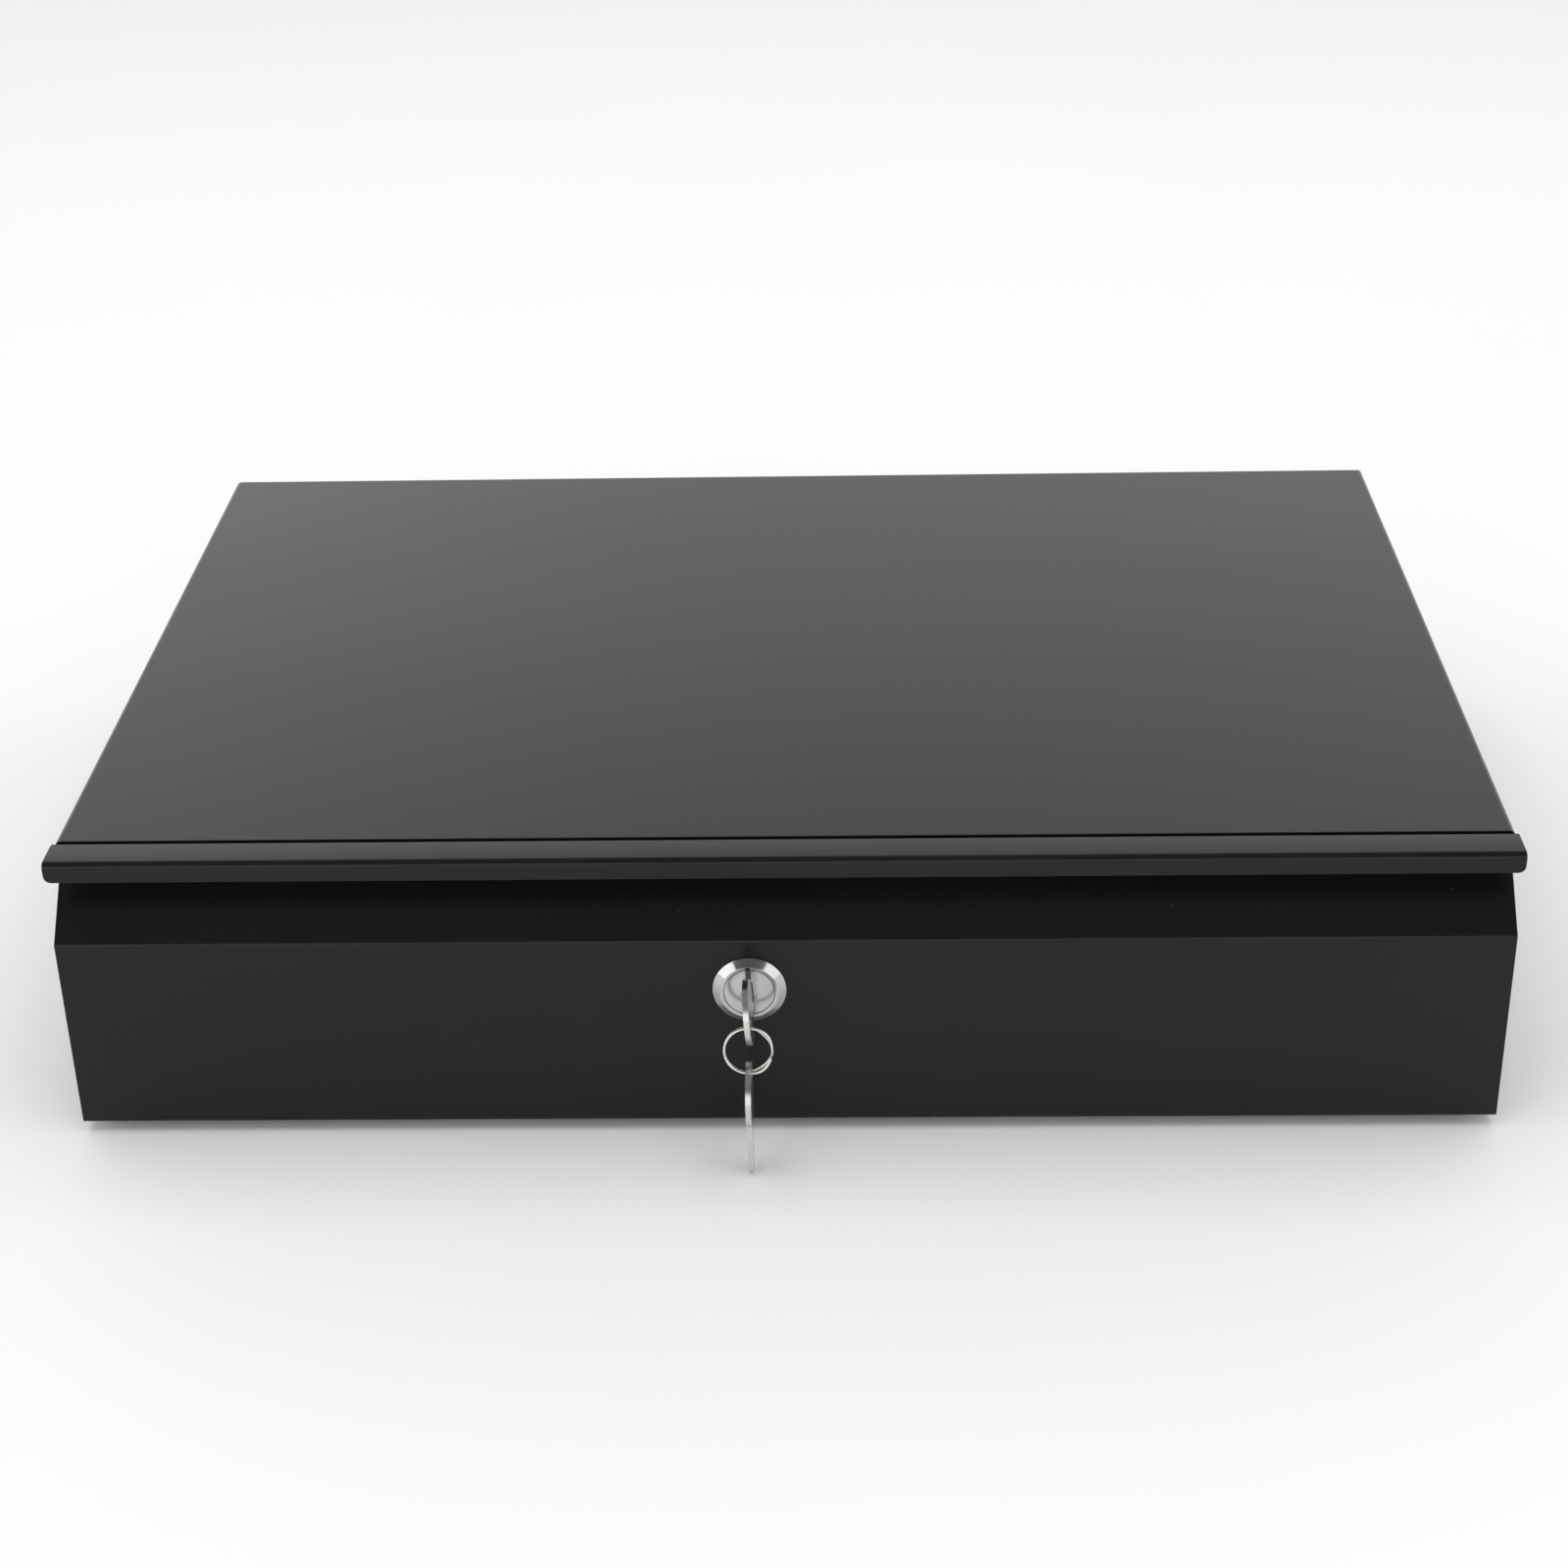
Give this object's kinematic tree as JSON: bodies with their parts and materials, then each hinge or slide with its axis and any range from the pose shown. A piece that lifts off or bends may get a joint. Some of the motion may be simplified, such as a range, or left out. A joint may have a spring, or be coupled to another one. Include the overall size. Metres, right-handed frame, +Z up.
{
  "type": "cash drawer",
  "caption": "Low counter-top cash drawer with a key lock, a full-width pull lip over a sloped finger recess, a sliding till tray with coin cups and note bays, and a spare key on a ring.",
  "frame": {"origin": "on the counter, under the middle of the whole object, keys included", "axes": "+Z up; the drawer front faces -Y; +X is to the right of someone facing the front"},
  "size_m": [0.4616, 0.3506, 0.1004],
  "materials": {
    "painted_steel": "black powder coat, semi-gloss",
    "lip_steel": "black paint, semi-gloss",
    "zinc_steel": "bright zinc plate",
    "rubber": "matte",
    "cage_brass": "rolled strip",
    "till_plastic": "fine-grained moulded plastic",
    "lock_chrome": "polished",
    "key_nickel": "nickel plate, lightly brushed"
  },
  "bodies": {
    "housing": {"top_cover": "painted_steel", "base_pan": "painted_steel", "rear_panel": "painted_steel", "front_tie_bar": "painted_steel", "strike_plate": "zinc_steel", "foot_1": "rubber", "foot_2": "rubber", "foot_3": "rubber", "foot_4": "rubber", "foot_screw_1": "zinc_steel", "foot_screw_2": "zinc_steel", "foot_screw_3": "zinc_steel", "foot_screw_4": "zinc_steel", "cover_screw_1": "zinc_steel", "cover_screw_2": "zinc_steel", "cover_screw_3": "zinc_steel", "cover_screw_4": "zinc_steel", "rear_bumper_L": "rubber", "rear_bumper_R": "rubber", "slide_outer_L": "zinc_steel", "slide_outer_R": "zinc_steel"},
    "drawer": {"drawer_front": "painted_steel", "front_lip": "lip_steel", "drawer_pan": "painted_steel", "lock_guard": "painted_steel", "slide_inner_L": "zinc_steel", "slide_inner_R": "zinc_steel", "lock_body": "lock_chrome", "lock_washer": "zinc_steel", "lock_nut": "zinc_steel", "till_tray": "till_plastic", "note_divider_1": "till_plastic", "note_divider_2": "till_plastic", "note_divider_3": "till_plastic", "note_divider_4": "till_plastic", "coin_cup_1": "till_plastic", "coin_cup_2": "till_plastic", "coin_cup_3": "till_plastic", "coin_cup_4": "till_plastic", "coin_cup_5": "till_plastic", "clip_rod": "zinc_steel"},
    "slide_middle_L": {"slide_middle_L": "zinc_steel"},
    "outer_cage_L": {"outer_ball_cage_L": "cage_brass"},
    "inner_cage_L": {"inner_ball_cage_L": "cage_brass"},
    "slide_middle_R": {"slide_middle_R": "zinc_steel"},
    "outer_cage_R": {"outer_ball_cage_R": "cage_brass"},
    "inner_cage_R": {"inner_ball_cage_R": "cage_brass"},
    "lock_cylinder": {"lock_plug": "lock_chrome", "lock_cam": "zinc_steel", "cam_screw": "zinc_steel"},
    "key": {"key": "key_nickel"},
    "key_ring": {"key_ring": "key_nickel"},
    "spare_key": {"spare_key": "key_nickel"},
    "note_clip_1": {"note_clip_1": "till_plastic"},
    "note_clip_2": {"note_clip_2": "till_plastic"},
    "note_clip_3": {"note_clip_3": "till_plastic"},
    "note_clip_4": {"note_clip_4": "till_plastic"},
    "note_clip_5": {"note_clip_5": "till_plastic"}
  },
  "joints": [
    {"name": "drawer_slide", "type": "slide", "parent": "housing", "child": "drawer", "axis": [0, -1, 0], "range_m": [0, 0.28]},
    {"name": "slide_middle_L_travel", "type": "slide", "parent": "housing", "child": "slide_middle_L", "axis": [0, -1, 0], "range_m": [0, 0.14]},
    {"name": "outer_cage_L_roll", "type": "slide", "parent": "housing", "child": "outer_cage_L", "axis": [0, -1, 0], "range_m": [0, 0.07]},
    {"name": "inner_cage_L_roll", "type": "slide", "parent": "housing", "child": "inner_cage_L", "axis": [0, -1, 0], "range_m": [0, 0.21]},
    {"name": "slide_middle_R_travel", "type": "slide", "parent": "housing", "child": "slide_middle_R", "axis": [0, -1, 0], "range_m": [0, 0.14]},
    {"name": "outer_cage_R_roll", "type": "slide", "parent": "housing", "child": "outer_cage_R", "axis": [0, -1, 0], "range_m": [0, 0.07]},
    {"name": "inner_cage_R_roll", "type": "slide", "parent": "housing", "child": "inner_cage_R", "axis": [0, -1, 0], "range_m": [0, 0.21]},
    {"name": "lock_turn", "type": "hinge", "parent": "drawer", "child": "lock_cylinder", "pos_m": [-0.0102, -0.14227, 0.0546], "axis": [0, 1, 0], "range_deg": [0, 90]},
    {"name": "key_pull", "type": "slide", "parent": "lock_cylinder", "child": "key", "axis": [0, -1, 0], "range_m": [0, 0.02]},
    {"name": "key_ring_swing", "type": "hinge", "parent": "key", "child": "key_ring", "pos_m": [-0.0102, -0.16227, 0.0528], "axis": [-1, 0, 0], "range_deg": [-10, 60]},
    {"name": "spare_key_swing", "type": "hinge", "parent": "key_ring", "child": "spare_key", "pos_m": [-0.0102, -0.16483, 0.03802], "axis": [-1, 0, 0], "range_deg": [-8, 60]},
    {"name": "note_clip_1_lift", "type": "hinge", "parent": "drawer", "child": "note_clip_1", "pos_m": [-0.16944, 0.14853, 0.0398], "axis": [-1, 0, 0], "range_deg": [0, 85], "stiffness_Nm_per_rad": 0.01, "springref_deg": -34.38},
    {"name": "note_clip_2_lift", "type": "hinge", "parent": "drawer", "child": "note_clip_2", "pos_m": [-0.08472, 0.14853, 0.0398], "axis": [-1, 0, 0], "range_deg": [0, 85], "stiffness_Nm_per_rad": 0.01, "springref_deg": -34.38},
    {"name": "note_clip_3_lift", "type": "hinge", "parent": "drawer", "child": "note_clip_3", "pos_m": [0, 0.14853, 0.0398], "axis": [-1, 0, 0], "range_deg": [0, 85], "stiffness_Nm_per_rad": 0.01, "springref_deg": -34.38},
    {"name": "note_clip_4_lift", "type": "hinge", "parent": "drawer", "child": "note_clip_4", "pos_m": [0.08472, 0.14853, 0.0398], "axis": [-1, 0, 0], "range_deg": [0, 85], "stiffness_Nm_per_rad": 0.01, "springref_deg": -34.38},
    {"name": "note_clip_5_lift", "type": "hinge", "parent": "drawer", "child": "note_clip_5", "pos_m": [0.16944, 0.14853, 0.0398], "axis": [-1, 0, 0], "range_deg": [0, 85], "stiffness_Nm_per_rad": 0.01, "springref_deg": -34.38}
  ],
  "couplings": [
    {"joint": "slide_middle_L_travel", "follows": "drawer_slide", "ratio": 0.5},
    {"joint": "outer_cage_L_roll", "follows": "drawer_slide", "ratio": 0.25},
    {"joint": "inner_cage_L_roll", "follows": "drawer_slide", "ratio": 0.75},
    {"joint": "slide_middle_R_travel", "follows": "drawer_slide", "ratio": 0.5},
    {"joint": "outer_cage_R_roll", "follows": "drawer_slide", "ratio": 0.25},
    {"joint": "inner_cage_R_roll", "follows": "drawer_slide", "ratio": 0.75}
  ]
}
